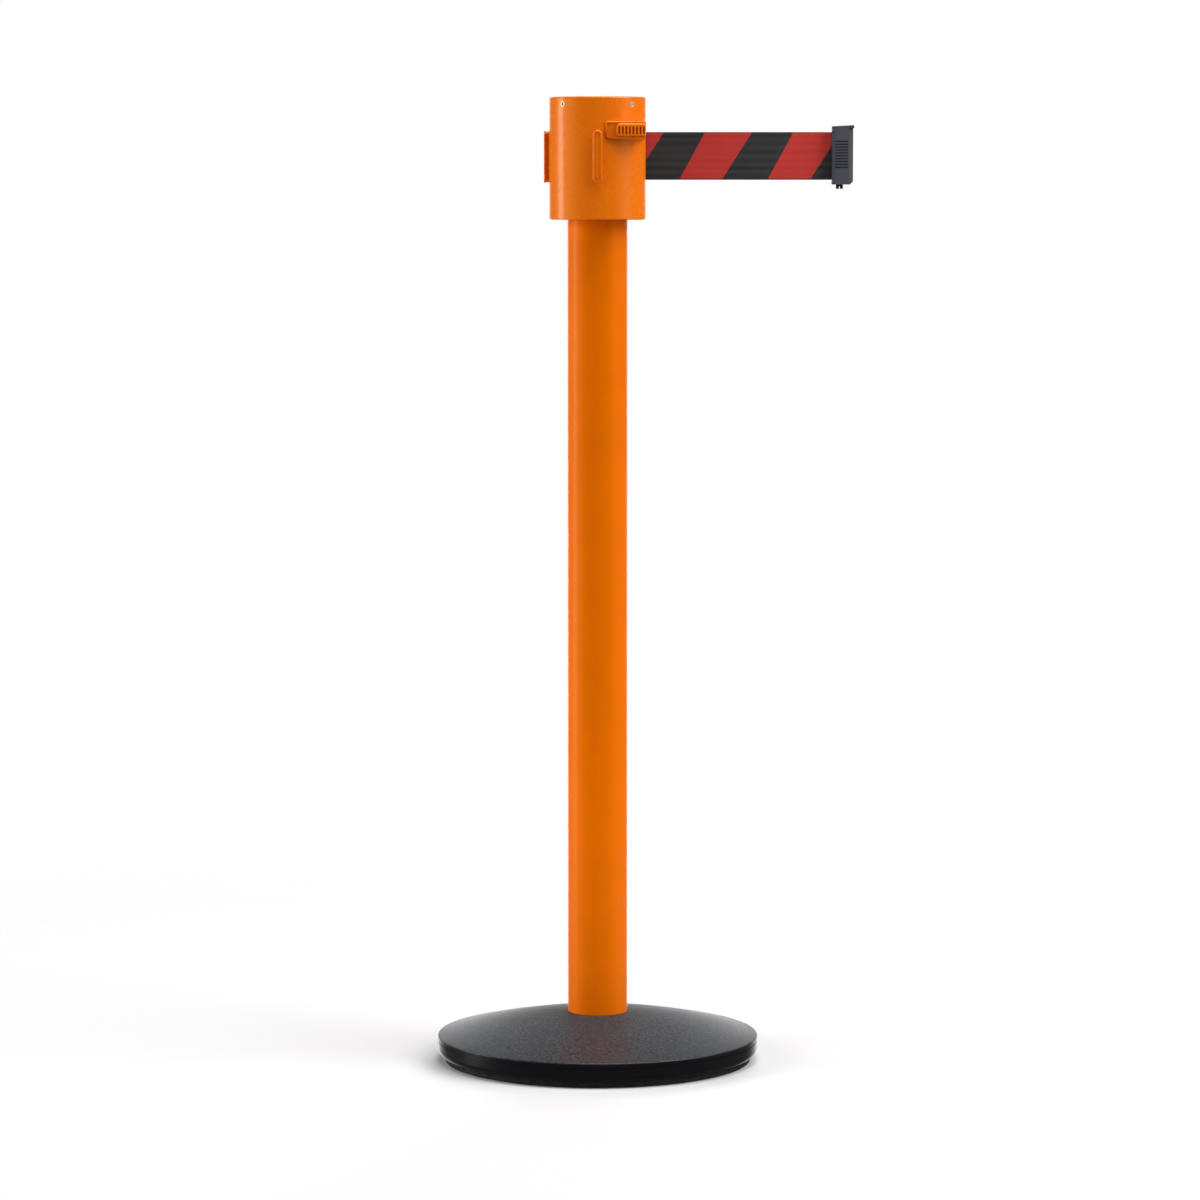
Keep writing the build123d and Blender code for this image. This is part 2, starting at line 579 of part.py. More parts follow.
# ================================================================ spindle
CLIP_GROOVE = (995.3, 996.3)
with BuildPart() as spindle:
    profile = [
        (0, BASE_PLATE[0]),
        (4.0, BASE_PLATE[0]),
        (4.0, BASE_PLATE[1]),
        (9.0, BASE_PLATE[1]),
        (9.0, BASE_PLATE[1] + 2.5),
        (SPINDLE_RADIUS, BASE_PLATE[1] + 2.5),
        (SPINDLE_RADIUS, CLIP_GROOVE[0]),
        (4.4, CLIP_GROOVE[0]),
        (4.4, CLIP_GROOVE[1]),
        (SPINDLE_RADIUS, CLIP_GROOVE[1]),
        (SPINDLE_RADIUS, TOP_PLATE[0]),
        (4.0, TOP_PLATE[0]),
        (4.0, 1007.0),
        (0, 1007.0),
    ]
    add(turned(profile))
    # slot that takes the inner end of the spring
    block((0, 6), (-0.55, 0.55), (914.5, 933.5), Mode.SUBTRACT)
save(spindle, "spindle")

with BuildPart() as spindle_nut:
    with BuildSketch(Plane.XY.offset(TOP_PLATE[1])):
        RegularPolygon(6.5, 6, major_radius=False)
        Circle(4.05, mode=Mode.SUBTRACT)
    extrude(amount=6.5)
save(spindle_nut, "spindle_nut")

with BuildPart() as retaining_clip:
    disc(8.0, (CLIP_GROOVE[0] + 0.05, CLIP_GROOVE[1] - 0.05))
    disc(4.45, CLIP_GROOVE, mode=Mode.SUBTRACT)
    block((0, 9), (-2.6, 2.6), CLIP_GROOVE, Mode.SUBTRACT)
save(retaining_clip, "retaining_clip")

# ================================================================ spool, spring barrel and spring
LOWER_FLANGE = (935.4, 937.0)
UPPER_FLANGE = (987.8, 993.8)
BARREL_FOOT = 913.5
BARREL_OUTER, BARREL_INNER = 38.2, 36.6
BUSH_SEAT = 8.0
with BuildPart() as spool:
    profile = [
        (BUSH_SEAT, LOWER_FLANGE[0]),
        (BARREL_INNER, LOWER_FLANGE[0]),
        (BARREL_INNER, BARREL_FOOT),
        (BARREL_OUTER, BARREL_FOOT),
        (BARREL_OUTER, LOWER_FLANGE[0]),
        (SPOOL_FLANGE, LOWER_FLANGE[0]),
        (SPOOL_FLANGE, LOWER_FLANGE[1]),
        (SPOOL_HUB, LOWER_FLANGE[1]),
        (SPOOL_HUB, UPPER_FLANGE[0]),
        (SPOOL_FLANGE, UPPER_FLANGE[0]),
        (SPOOL_FLANGE, UPPER_FLANGE[1]),
        (SPOOL_FLANGE - 4, UPPER_FLANGE[1]),
        (SPOOL_FLANGE - 4, UPPER_FLANGE[0] + 2),
        (14.0, UPPER_FLANGE[0] + 2),
        (14.0, UPPER_FLANGE[1]),
        (BUSH_SEAT, UPPER_FLANGE[1]),
        (BUSH_SEAT, 985.0),
        (16.5, 983.0),
        (16.5, 943.0),
        (BUSH_SEAT, 941.4),
    ]
    add(turned(profile))
    with PolarLocations(28.0, 6):
        with Locations((0, 0, UPPER_FLANGE[0] + 1)):
            Cylinder(4.5, 2.0, mode=Mode.SUBTRACT)
save(spool, "spool")

with BuildPart() as barrel_lid:
    disc(BARREL_OUTER + 0.4, (BARREL_FOOT - 2, BARREL_FOOT))
    disc(BARREL_INNER - 0.1, (BARREL_FOOT, BARREL_FOOT + 1.2))
    disc(5.5, (BARREL_FOOT - 2, BARREL_FOOT + 1.2), mode=Mode.SUBTRACT)
save(barrel_lid, "barrel_lid")


def bush(low, high, flange, label):
    """A flanged bush pressed in the spool, running on the spindle."""
    with BuildPart() as ring:
        disc(BUSH_SEAT - 0.02, (low, high))
        disc(10.0, flange)
        disc(SPINDLE_RADIUS + 0.04, (min(low, flange[0]), max(high, flange[1])), mode=Mode.SUBTRACT)
    save(ring, label)


bush(LOWER_FLANGE[0], 941.4, (LOWER_FLANGE[0] - 1, LOWER_FLANGE[0]), "lower_bush")
bush(985.8, UPPER_FLANGE[1], (UPPER_FLANGE[1], UPPER_FLANGE[1] + 1), "upper_bush")

# Spiral spring: half-circles about two alternating centres, from the spindle out to the barrel wall.
SPRING_Z = (915.2, 933.2)
SPRING_TURNS = 9
SPRING_THICK = 0.8
SPRING_INNER, SPRING_OUTER = 6.1, 35.0
spring_pitch = (SPRING_OUTER - SPRING_INNER) / SPRING_TURNS


def spiral(inner_radius):
    """Start, middle and end points of each half-turn of the spiral."""
    arcs = []
    for half in range(2 * SPRING_TURNS):
        sign = 1 if half % 2 == 0 else -1
        centre = -sign * spring_pitch / 4
        radius = inner_radius + half * spring_pitch / 2
        arcs.append(((centre + sign * radius, 0), (centre, sign * radius), (centre - sign * radius, 0)))
    return arcs


with BuildPart() as power_spring:
    with BuildSketch(Plane.XY.offset(SPRING_Z[0])):
        with BuildLine():
            inside, outside = spiral(SPRING_INNER), spiral(SPRING_INNER + SPRING_THICK)
            for points in inside + outside:
                ThreePointArc(*points)
            Line(inside[0][0], outside[0][0])
            Line(inside[-1][2], outside[-1][2])
        make_face()
    extrude(amount=SPRING_Z[1] - SPRING_Z[0])
    # inner end, bent inwards into the slot of the spindle
    block((1.2, SPRING_INNER - spring_pitch / 4 + SPRING_THICK), (-0.4, 0.4), SPRING_Z)
save(power_spring, "power_spring")

# ================================================================ belt
with BuildPart() as belt_roll:
    disc(ROLL_RADIUS, (BELT_LOW, BELT_HIGH))
    disc(SPOOL_HUB + 0.05, (BELT_LOW, BELT_HIGH), mode=Mode.SUBTRACT)
save(belt_roll, "belt_roll")

# The belt leaves the roll on the +Y side and turns round the rear roller into the outlet.
LEAD_START = ROLL_RADIUS + 0.05 + BELT_THICK / 2
wrap = ROLLER_Y
to_roller = hypot(ROLLER_X, ROLLER_Y)
normal_angle = atan2(ROLLER_Y, ROLLER_X) + acos((LEAD_START + wrap) / to_roller)
normal = Vector(cos(normal_angle), sin(normal_angle))
leave = normal * LEAD_START
arrive = Vector(ROLLER_X, ROLLER_Y) - normal * wrap
bend_angle = (normal_angle + pi / 2) / 2
bend = Vector(ROLLER_X, ROLLER_Y) - Vector(cos(bend_angle), sin(bend_angle)) * wrap
with BuildPart() as belt_lead:
    with BuildSketch(Plane.XY.offset(BELT_LOW)):
        with BuildLine() as lead_path:
            Line(leave, arrive)
            ThreePointArc(arrive, bend, (ROLLER_X, 0))
        trace(lead_path.edges(), line_width=BELT_THICK)
    extrude(amount=BELT_WIDTH)
save(belt_lead, "belt_lead")

# Webbing from the rollers to the clip, where its end is looped round a pin.
LOOP_X = CLIP_LEFT + 4.2
LOOP_INNER = 1.6
PIN_Z = (935.7, 990.0)
with BuildPart() as belt_strap:
    strap_ends = (ROLLER_X + 0.1, LOOP_X - LOOP_INNER - 0.3)
    block(strap_ends, (-BELT_THICK / 2, BELT_THICK / 2), (BELT_LOW, BELT_HIGH))
    disc(LOOP_INNER + BELT_THICK, (BELT_LOW, BELT_HIGH), (LOOP_X, 0))
    disc(LOOP_INNER, (BELT_LOW, BELT_HIGH), (LOOP_X, 0), Mode.SUBTRACT)
save(belt_strap, "belt_strap")

# ================================================================ clip on the end of the belt
def from_clip(*distances):
    """Positions along X, given as distances from the belt side of the clip."""
    return tuple(CLIP_LEFT + distance for distance in distances)


CHANNEL_X = from_clip(17.3, 20.1)
CHANNEL_HALF, MOUTH_HALF = 5.5, 3.4
CHANNEL_TOP = 990.6
NOSE_CHAMFER = (3.6, 4.8)
TOP_PLATE_FOOT, TOP_PLATE_RISE, TOP_PLATE_OVERHANG = 991.4, 1.2, 0.9
EYE_RADIUS = LOOP_INNER + BELT_THICK + 0.15
GRIP_X, GRIP_GROOVES, GRIP_PITCH = from_clip(3.4, 16.6), 10, 3.03
GRIP_WIDTH, GRIP_DEPTH = 1.2, 1.2
GRIP_MIDDLE = 964.0
BUTTON_X, BUTTON_Z, BUTTON_HALF_Y = from_clip(4.4, 11.8), (927.9, 933.2), 2.5
FORK_X, FORK_Z = from_clip(8.1, 14.3), (934.6, 942.8)
FORK_GAP_HALF = 1.3
CATCH_X, CATCH_Z, CATCH_HALF_Y = from_clip(10.0, 15.7), (934.7, 941.0), 1.0
CATCH_NOSE = (CATCH_X[1], CHANNEL_X[0] + 1.6)
CAM_X, CAM_Z, CAM_RADIUS = CLIP_LEFT + 11.9, 936.5, 0.8
SPRING_X = CLIP_LEFT + 11.2
SPRING_RADIUS, WIRE_RADIUS, SPRING_HEIGHT = 1.5, 0.25, 6.2
CLIP_SCREWS = [(CLIP_LEFT + 12.0, 954.8), (CLIP_LEFT + 12.0, 983.5)]
BUTTON_ROOM_TOP = BUTTON_Z[1] + BUTTON_TRAVEL + 0.2
FORK_ROOM_TOP = FORK_Z[1] + BUTTON_TRAVEL + 0.3


def clip_shell(keep, label):
    """One half of the clip, which is split along the plane of the belt."""
    with BuildPart() as shell:
        block(CLIP_X, (-CLIP_HALF, CLIP_HALF), CLIP_Z)
        # bevelled nose, cut-off lower corner and soft edges on the belt side
        chamfer(shell.edges().filter_by(Axis.Z).group_by(Axis.X)[-1], *NOSE_CHAMFER)
        chamfer(shell.edges().filter_by(Axis.Y).group_by(Axis.X)[-1].sort_by(Axis.Z)[0], 3.2)
        fillet(shell.edges().filter_by(Axis.Z).group_by(Axis.X)[0], 0.8)
        # top plate, square in plan and rising a little towards the nose, which it overhangs
        with BuildSketch(Plane.XZ.offset(-CLIP_HALF)):
            with BuildLine():
                Polyline(
                    (CLIP_X[0], TOP_PLATE_FOOT),
                    (CLIP_X[0], CLIP_Z[1]),
                    (CLIP_X[1] + TOP_PLATE_OVERHANG, CLIP_Z[1] + TOP_PLATE_RISE),
                    (CLIP_X[1] + TOP_PLATE_OVERHANG, TOP_PLATE_FOOT),
                    close=True,
                )
            make_face()
        extrude(amount=2 * CLIP_HALF)
        fillet(shell.faces().sort_by(Axis.Z)[-1].edges(), 0.4)
        # channel for the receiver rail of the next post
        block(CHANNEL_X, (-CHANNEL_HALF, CHANNEL_HALF), (CLIP_Z[0], CHANNEL_TOP), Mode.SUBTRACT)
        block((CHANNEL_X[1], CLIP_X[1]), (-MOUTH_HALF, MOUTH_HALF), (CLIP_Z[0], CHANNEL_TOP), Mode.SUBTRACT)
        # slit and eye for the webbing, and the seats of its pin
        block((CLIP_X[0], LOOP_X), (-0.75, 0.75), (BELT_LOW - 0.2, BELT_HIGH + 0.4), Mode.SUBTRACT)
        disc(EYE_RADIUS, (BELT_LOW - 0.2, BELT_HIGH + 0.4), (LOOP_X, 0), Mode.SUBTRACT)
        disc(LOOP_INNER - 0.08, (BUTTON_ROOM_TOP, PIN_Z[1] + 0.2), (LOOP_X, 0), Mode.SUBTRACT)
        # room for the button, its fork, the catch and the return spring
        button_room = (BUTTON_X[0] - 0.2, BUTTON_X[1] + 0.2)
        across = (-BUTTON_HALF_Y - 0.2, BUTTON_HALF_Y + 0.2)
        block(button_room, across, (CLIP_Z[0], BUTTON_ROOM_TOP), Mode.SUBTRACT)
        block((FORK_X[0] - 0.4, CATCH_X[1] + 0.3), across, (CATCH_Z[0] - 0.3, FORK_ROOM_TOP), Mode.SUBTRACT)
        nose_slot = (CATCH_Z[0] - 0.2, CATCH_Z[0] + 2.6)
        beside_nose = (-CATCH_HALF_Y - 0.15, CATCH_HALF_Y + 0.15)
        block((CATCH_X[1], CHANNEL_X[0]), beside_nose, nose_slot, Mode.SUBTRACT)
        spring_room = (FORK_ROOM_TOP, FORK_Z[1] + SPRING_HEIGHT + 0.9)
        disc(SPRING_RADIUS + 0.7, spring_room, (SPRING_X, 0), Mode.SUBTRACT)
        # screws that close the two halves, driven from the back
        for radius, reach in ((1.3, -5.5), (2.6, CLIP_HALF - 1.8)):
            with BuildSketch(Plane.XZ.offset(-CLIP_HALF - 1)):
                with Locations(*CLIP_SCREWS):
                    Circle(radius)
            extrude(amount=CLIP_HALF + 1 - reach, mode=Mode.SUBTRACT)
        # finger grip on both faces
        for row in range(GRIP_GROOVES):
            middle = GRIP_MIDDLE + (row - (GRIP_GROOVES - 1) / 2) * GRIP_PITCH
            groove = (middle - GRIP_WIDTH / 2, middle + GRIP_WIDTH / 2)
            for face in (-CLIP_HALF, CLIP_HALF):
                block(GRIP_X, (face - GRIP_DEPTH, face + GRIP_DEPTH), groove, Mode.SUBTRACT)
        split(bisect_by=Plane.XZ, keep=keep)
    save(shell, label)


clip_shell(Keep.TOP, "clip_front_shell")
clip_shell(Keep.BOTTOM, "clip_back_shell")

with BuildPart() as belt_pin:
    disc(LOOP_INNER - 0.1, PIN_Z, (LOOP_X, 0))
save(belt_pin, "belt_pin")

with BuildPart() as clip_screws:
    for radius, start, length in ((2.4, CLIP_HALF - 0.1, 1.6), (1.25, CLIP_HALF - 1.6, 11.0)):
        with BuildSketch(Plane.XZ.offset(-start)):
            with Locations(*CLIP_SCREWS):
                Circle(radius)
        extrude(amount=length)
save(clip_screws, "clip_screws")

# Release button: a nub under the clip, split in two prongs, and a fork that carries the cam pin.
PRONG_GAP = from_clip(7.6, 8.6)
with BuildPart() as release_button:
    across = (-BUTTON_HALF_Y, BUTTON_HALF_Y)
    block(BUTTON_X, across, BUTTON_Z)
    fillet(release_button.edges().filter_by(Axis.Z), 0.6)
    block((FORK_X[0], BUTTON_X[1]), across, (BUTTON_Z[1], FORK_Z[0]))
    block(FORK_X, across, FORK_Z)
    fork_gap = (BUTTON_Z[1] - 1.4, FORK_Z[1] - 1.2)
    block((FORK_X[0] - 0.4, FORK_X[1] + 1), (-FORK_GAP_HALF, FORK_GAP_HALF), fork_gap, Mode.SUBTRACT)
    block(PRONG_GAP, (-3, 3), (BUTTON_Z[0], BUTTON_Z[0] + 2.6), Mode.SUBTRACT)
    with BuildSketch(Plane.XZ.offset(-BUTTON_HALF_Y)):
        with Locations((CAM_X, CAM_Z)):
            Circle(CAM_RADIUS)
    extrude(amount=2 * BUTTON_HALF_Y)
save(release_button, "release_button")

# Catch: its nose stands in the channel under the rail, and the cam slot draws it back.
with BuildPart() as catch:
    block(CATCH_X, (-CATCH_HALF_Y, CATCH_HALF_Y), CATCH_Z)
    block(CATCH_NOSE, (-CATCH_HALF_Y, CATCH_HALF_Y), (CATCH_Z[0], CATCH_Z[0] + 2.2))
    with BuildSketch(Plane.XZ.offset(-CATCH_HALF_Y - 1)):
        with Locations((CAM_X + CATCH_TRAVEL / 2, CAM_Z + BUTTON_TRAVEL / 2)):
            SlotCenterToCenter(
                hypot(CATCH_TRAVEL, BUTTON_TRAVEL),
                2 * CAM_RADIUS + 0.1,
                rotation=degrees(atan2(BUTTON_TRAVEL, CATCH_TRAVEL)),
            )
    extrude(amount=2 * CATCH_HALF_Y + 2, mode=Mode.SUBTRACT)
save(catch, "catch")

# Return spring of the button.
with BuildPart() as button_spring:
    with BuildLine() as coil:
        Helix(pitch=1.55, height=SPRING_HEIGHT, radius=SPRING_RADIUS, center=(SPRING_X, 0, FORK_Z[1] + 0.4))
    with BuildSketch(Plane(origin=coil.line @ 0, z_dir=coil.line % 0)):
        Circle(WIRE_RADIUS)
    sweep(path=coil.line, is_frenet=True)
save(button_spring, "button_spring")

# ================================================================ belt lock
PAD_X, PAD_Z, PAD_FACE = (19.8, 50.2), (982.3, 995.9), -54.6
TONGUE_X, TONGUE_Y, TONGUE_Z = (22.0, 42.0), (-50.4, -40.2), (993.0, 995.2)
PIN_X, PIN_Y = 26.0, -43.0
RIB_GROOVES, RIB_PITCH = 8, 3.66
RIB_GROOVE, RIB_DEPTH = (8.6, 1.9), 2.1
with BuildPart() as lock_slider:
    block(PAD_X, (PAD_FACE, POCKET_FLOOR - 0.1), PAD_Z)
    fillet(lock_slider.edges().filter_by(Axis.Y).group_by(Axis.X)[0], 3.4)
    fillet(lock_slider.faces().sort_by(Axis.Y)[0].edges(), 1.8)
    for groove in range(RIB_GROOVES):
        with BuildSketch(Plane.XZ.offset(-PAD_FACE)):
            with Locations((PAD_X[0] + 2.9 + groove * RIB_PITCH, (PAD_Z[0] + PAD_Z[1]) / 2 - 0.6)):
                SlotOverall(*RIB_GROOVE, rotation=90)
        extrude(amount=-RIB_DEPTH, mode=Mode.SUBTRACT)
    block(STEM_X, (POCKET_FLOOR - 0.1, TONGUE_Y[0]), STEM_Z)
    block(TONGUE_X, TONGUE_Y, TONGUE_Z)
    # slanted slot: as the slider goes 9 mm along X, the shoe's pin goes 3 mm along Y
    with BuildSketch(Plane.XY.offset(TONGUE_Z[0] - 1)):
        with Locations((PIN_X + LOCK_TRAVEL / 2, PIN_Y - SHOE_TRAVEL / 2)):
            SlotCenterToCenter(
                hypot(LOCK_TRAVEL, SHOE_TRAVEL), 3.1, rotation=-degrees(atan2(SHOE_TRAVEL, LOCK_TRAVEL))
            )
    extrude(amount=5, mode=Mode.SUBTRACT)
save(lock_slider, "lock_slider")

SHOE_X, SHOE_Z = (20.0, 32.0), (987.4, 992.2)
PAD_BACK = 42.0  # radius about the spindle where the brake pad is bonded to the shoe
LOCK_SPACE = (979.0, 999.0)
BRACKET_FLANGE, BRACKET_CHEEK = 994.4, (984.6, 995.0)
with BuildPart() as brake_shoe:
    block(SHOE_X, (-46.5, -25.0), SHOE_Z)
    disc(PAD_BACK, LOCK_SPACE, mode=Mode.SUBTRACT)
    disc(1.5, (SHOE_Z[1], TONGUE_Z[1]), (PIN_X, PIN_Y))
save(brake_shoe, "brake_shoe")

with BuildPart() as brake_pad:
    block((20.5, 31.5), (-42.0, -20.0), (988.0, 992.2))
    disc(PAD_BACK - 0.05, LOCK_SPACE, mode=Mode.INTERSECT)
    disc(SPOOL_FLANGE + 0.1, LOCK_SPACE, mode=Mode.SUBTRACT)
save(brake_pad, "brake_pad")

# Bracket under the top plate whose cheeks guide the shoe.
with BuildPart() as brake_bracket:
    block((18.3, 33.7), (-39.4, -26.0), (BRACKET_FLANGE, TOP_PLATE[0]))
    block((18.3, 19.8), (-39.9, -36.4), BRACKET_CHEEK)
    block((32.2, 33.7), (-35.3, -26.0), BRACKET_CHEEK)
    disc(47.8, LOCK_SPACE, mode=Mode.INTERSECT)
    for rivet_at in BRACKET_RIVETS:
        disc(1.3, (BRACKET_FLANGE - 0.4, TOP_PLATE[0]), rivet_at, Mode.SUBTRACT)
save(brake_bracket, "brake_bracket")

with BuildPart() as bracket_rivets:
    for rivet_at in BRACKET_RIVETS:
        disc(1.25, (BRACKET_FLANGE, TOP_PLATE[1]), rivet_at)
        disc(2.2, (TOP_PLATE[1], TOP_PLATE[1] + 1.0), rivet_at)
save(bracket_rivets, "bracket_rivets")
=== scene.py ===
"""Looks for the retractable-belt barrier post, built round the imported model.

Lengths are in metres in the model's frame: the floor is z = 0, the tube's axis is the z axis, the
belt runs out along +X and the lock slider is on the -Y side.
"""

import json
from math import acos, atan2, cos, hypot, pi, radians, sin, tau

import bmesh
import bpy
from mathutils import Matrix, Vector


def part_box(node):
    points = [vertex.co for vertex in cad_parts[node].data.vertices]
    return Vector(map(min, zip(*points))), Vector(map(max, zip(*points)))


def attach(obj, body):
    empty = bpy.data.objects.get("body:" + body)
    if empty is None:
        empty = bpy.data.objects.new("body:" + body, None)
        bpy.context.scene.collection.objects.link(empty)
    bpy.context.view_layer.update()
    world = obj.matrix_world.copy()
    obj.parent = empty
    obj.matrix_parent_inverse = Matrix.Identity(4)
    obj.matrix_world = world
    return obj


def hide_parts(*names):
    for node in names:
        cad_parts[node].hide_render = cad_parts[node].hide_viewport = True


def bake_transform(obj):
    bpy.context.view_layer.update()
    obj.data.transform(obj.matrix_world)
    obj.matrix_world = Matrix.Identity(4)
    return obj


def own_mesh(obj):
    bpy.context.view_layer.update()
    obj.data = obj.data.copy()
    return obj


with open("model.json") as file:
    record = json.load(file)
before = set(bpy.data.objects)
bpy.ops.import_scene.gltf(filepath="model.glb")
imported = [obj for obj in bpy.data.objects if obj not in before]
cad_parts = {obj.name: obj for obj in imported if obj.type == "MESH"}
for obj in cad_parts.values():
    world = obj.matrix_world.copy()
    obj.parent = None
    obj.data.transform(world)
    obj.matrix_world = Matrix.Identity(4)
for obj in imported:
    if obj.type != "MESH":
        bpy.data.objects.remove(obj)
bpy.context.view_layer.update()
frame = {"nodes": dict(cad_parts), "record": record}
MM = 0.001


# ---------------------------------------------------------------- materials
def add_node(tree, kind, inputs=None, **settings):
    """A new node with these settings; inputs gives its sockets a value or a link."""
    node = tree.nodes.new(kind)
    for key, value in settings.items():
        setattr(node, key, value)
    for socket, value in (inputs or {}).items():
        if isinstance(value, bpy.types.NodeSocket):
            tree.links.new(value, node.inputs[socket])
        else:
            node.inputs[socket].default_value = value
    return node


class Surface:
    """One material: a Principled shader and the texture nodes that feed it.

    The textures lie in the piece's own coordinates, in metres.
    """

    def __init__(
        self, name, colour, roughness, metallic=0.0, specular=0.5, gloss_tint=(1, 1, 1), sheen=0.0
    ):
        self.material = bpy.data.materials.new(name)
        self.material.use_nodes = True
        self.tree = self.material.node_tree
        self.shader = self.tree.nodes["Principled BSDF"]
        self.colour = colour
        sockets = {
            "Base Color": (*colour, 1),
            "Roughness": roughness,
            "Metallic": metallic,
            "Specular IOR Level": specular,
            "Specular Tint": (*gloss_tint, 1),
            "Sheen Weight": sheen,
        }
        for socket, value in sockets.items():
            self.shader.inputs[socket].default_value = value
        self.normal = None

    def add(self, kind, inputs=None, **settings):
        return add_node(self.tree, kind, inputs, **settings)

    def math(self, operation, first, second=0.0, third=0.0):
        inputs = {0: first, 1: second, 2: third}
        return self.add("ShaderNodeMath", inputs, operation=operation).outputs[0]

    def ramp(self, value, start, end, low, high):
        """Maps start-end of a value to low-high, and stays there outside it."""
        inputs = {0: value, 1: start, 2: end, 3: low, 4: high}
        return self.add("ShaderNodeMapRange", inputs).outputs[0]

    def place(self, stretch=(1, 1, 1)):
        """The piece's own coordinates in metres, each multiplied by stretch."""
        coordinates = self.add("ShaderNodeTexCoord").outputs["Object"]
        return self.add("ShaderNodeMapping", {"Vector": coordinates, "Scale": stretch}).outputs[0]

    def noise(self, size, detail=2.0, stretch=(1, 1, 1)):
        """Soft noise whose features are about size metres across, from 0 to 1."""
        inputs = {"Vector": self.place(stretch), "Scale": 1 / size, "Detail": detail, "Roughness": 0.55}
        return self.add("ShaderNodeTexNoise", inputs).outputs["Fac"]

    def cells(self, size):
        """Rounded pebbles about size metres across: 0 in their middle and larger at their borders."""
        inputs = {"Vector": self.place(), "Scale": 1 / size, "Smoothness": 0.6}
        return self.add("ShaderNodeTexVoronoi", inputs, feature="SMOOTH_F1").outputs["Distance"]

    def bands(self, pitch, direction):
        """Parallel bands across one axis, one every pitch metres, from 0 to 1."""
        # Blender's wave texture repeats every tau / 20 at a scale of 1
        inputs = {"Vector": self.place(), "Scale": tau / 20 / pitch, "Detail": 1.0}
        kind = {"wave_type": "BANDS", "bands_direction": direction, "wave_profile": "SIN"}
        return self.add("ShaderNodeTexWave", inputs, **kind).outputs["Fac"]

    def axes(self):
        """The piece's own X, Y and Z."""
        return self.add("ShaderNodeSeparateXYZ", {0: self.place()}).outputs

    def mix(self, share, first, second):
        """first where share is 0, second where it is 1; each is a colour or a link."""
        inputs = {}
        for index, value in ((6, first), (7, second)):
            inputs[index] = value if isinstance(value, bpy.types.NodeSocket) else (*value, 1)
        return self.add("ShaderNodeMix", {0: share, **inputs}, data_type="RGBA").outputs[2]

    def spread(self, value, low, high):
        """Maps a noise, which mostly stays within 0.3-0.7, to low-high."""
        return self.ramp(value, 0.3, 0.7, low, high)

    def tint(self, value, amount):
        """Varies the base colour's brightness by +-amount with a noise."""
        darker, lighter = shade(self.colour, 1 - amount), shade(self.colour, 1 + amount)
        self.paint(self.mix(self.spread(value, 0, 1), darker, lighter))

    def paint(self, colour):
        self.tree.links.new(colour, self.shader.inputs["Base Color"])

    def roughen(self, roughness):
        self.tree.links.new(roughness, self.shader.inputs["Roughness"])

    def polish(self, value, low, high):
        """Varies the roughness from low to high with a noise."""
        self.roughen(self.spread(value, low, high))

    def relief(self, value, depth):
        """Adds a bump of that depth in metres on top of the ones before it."""
        inputs = {"Height": value, "Distance": depth, "Strength": 1.0}
        if self.normal is not None:
            inputs["Normal"] = self.normal
        self.normal = self.add("ShaderNodeBump", inputs).outputs["Normal"]
        self.tree.links.new(self.normal, self.shader.inputs["Normal"])


def shade(colour, share):
    """The colour at this share of its brightness."""
    return [c * share for c in colour]


def orange_paint():
    """Smooth powder coat on the tube, with faint orange peel."""
    colour, gloss = (0.78, 0.148, 0.0), (1.0, 0.40, 0.06)
    s = Surface("finish_orange_paint", colour, 0.36, specular=0.38, gloss_tint=gloss)
    s.tint(s.noise(0.05, 1), 0.03)
    s.polish(s.noise(0.012), 0.33, 0.40)
    s.relief(s.noise(0.004, 1), 0.00002)
    return s.material


def orange_plastic(name="finish_orange_plastic"):
    """Moulded orange plastic with a fine matt texture."""
    s = Surface(name, (0.80, 0.163, 0.001), 0.27, specular=0.62, gloss_tint=(1.0, 0.85, 0.50))
    s.tint(s.noise(0.03, 2), 0.015)
    s.polish(s.noise(0.006), 0.25, 0.30)
    s.relief(s.noise(0.0008, 2), 0.000004)
    return s


def ribbed_orange(painted_face_light=1.12, painted_groove_shade=0.85):
    """The slider's plastic, with painted shade down in its rib grooves and its face painted lighter than
    the plain orange.
    """
    s = orange_plastic("finish_ribbed_orange")
    depth = s.math("SUBTRACT", s.axes()["Y"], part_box("lock_slider")[0].y)
    in_groove = s.ramp(depth, 0.0010, 0.0019, 0.0, 1.0)
    # painted shade in the rib grooves and painted light on the rib face, standing in for the light the ribs
    # catch
    s.paint(s.mix(in_groove, shade(s.colour, painted_face_light), shade(s.colour, painted_groove_shade)))
    return s.material


def base_plastic(rim_height=0.0205, rim_roughness=0.32):
    """Charcoal plastic: pebble grain on the dome; smooth round the rim, and painted near-black there as
    shade.
    """
    s = Surface("finish_base_plastic", (0.02, 0.02, 0.022), 0.50)
    dome_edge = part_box("base_cover")[0].z + rim_height
    on_dome = s.ramp(s.axes()["Z"], dome_edge - 0.0012, dome_edge, 0.0, 1.0)
    speckle = s.spread(s.noise(0.0026, 2), 0, 1)
    dome = s.mix(speckle, (0.003, 0.004, 0.006), (0.050, 0.055, 0.062))
    # painted shade: the rim band is painted near-black, while its smoothness is the plastic's own finish
    s.paint(s.mix(on_dome, (0.0020, 0.0024, 0.0034), dome))
    # the dome is worn smoother outwards from the tube
    outward = s.add("ShaderNodeVectorMath", {0: s.place((1, 1, 0))}, operation="LENGTH").outputs["Value"]
    worn = s.ramp(outward, 0.05, 0.15, 0.66, 0.46)
    dome_roughness = s.math("ADD", worn, s.spread(s.noise(0.0018, 2), -0.07, 0.07))
    inputs = {0: on_dome, 2: rim_roughness, 3: dome_roughness}
    s.roughen(s.add("ShaderNodeMix", inputs, data_type="FLOAT").outputs[0])
    s.relief(s.math("MULTIPLY", s.cells(0.0026), on_dome), 0.00020)
    s.relief(s.math("MULTIPLY", s.noise(0.0012, 2), on_dome), 0.00008)
    return s.material


